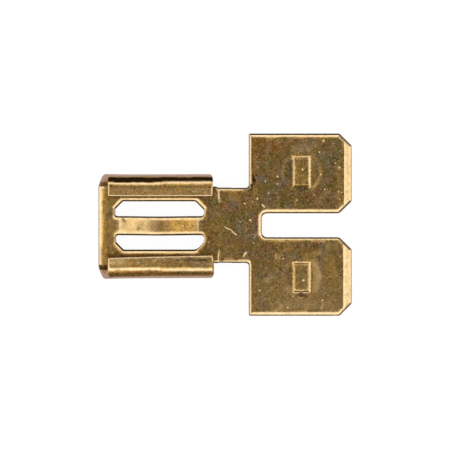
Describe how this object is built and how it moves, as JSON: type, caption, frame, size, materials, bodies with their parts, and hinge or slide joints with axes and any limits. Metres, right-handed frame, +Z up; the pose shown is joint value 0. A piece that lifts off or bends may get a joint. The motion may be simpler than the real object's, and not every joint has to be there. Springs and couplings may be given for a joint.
{
  "type": "spade terminal adapter",
  "caption": "Stamped and folded brass adapter: a receptacle for a spade tab with curled lips and a bowed contact bridge, opening out into side-by-side male tabs with pressed detents.",
  "frame": {"origin": "under the middle of the whole piece, on the surface that it lies on", "axes": "+X from the receptacle to the tips of the male tabs, +Y across both tabs, +Z up from the flat underside, towards the receptacle's lips"},
  "size_m": [0.0202, 0.0144, 0.0026],
  "materials": {
    "brass": "tarnished satin brass, brighter on its rolled edges and coined entries"
  },
  "bodies": {
    "root": {"terminal_adapter": "brass"}
  },
  "joints": []
}
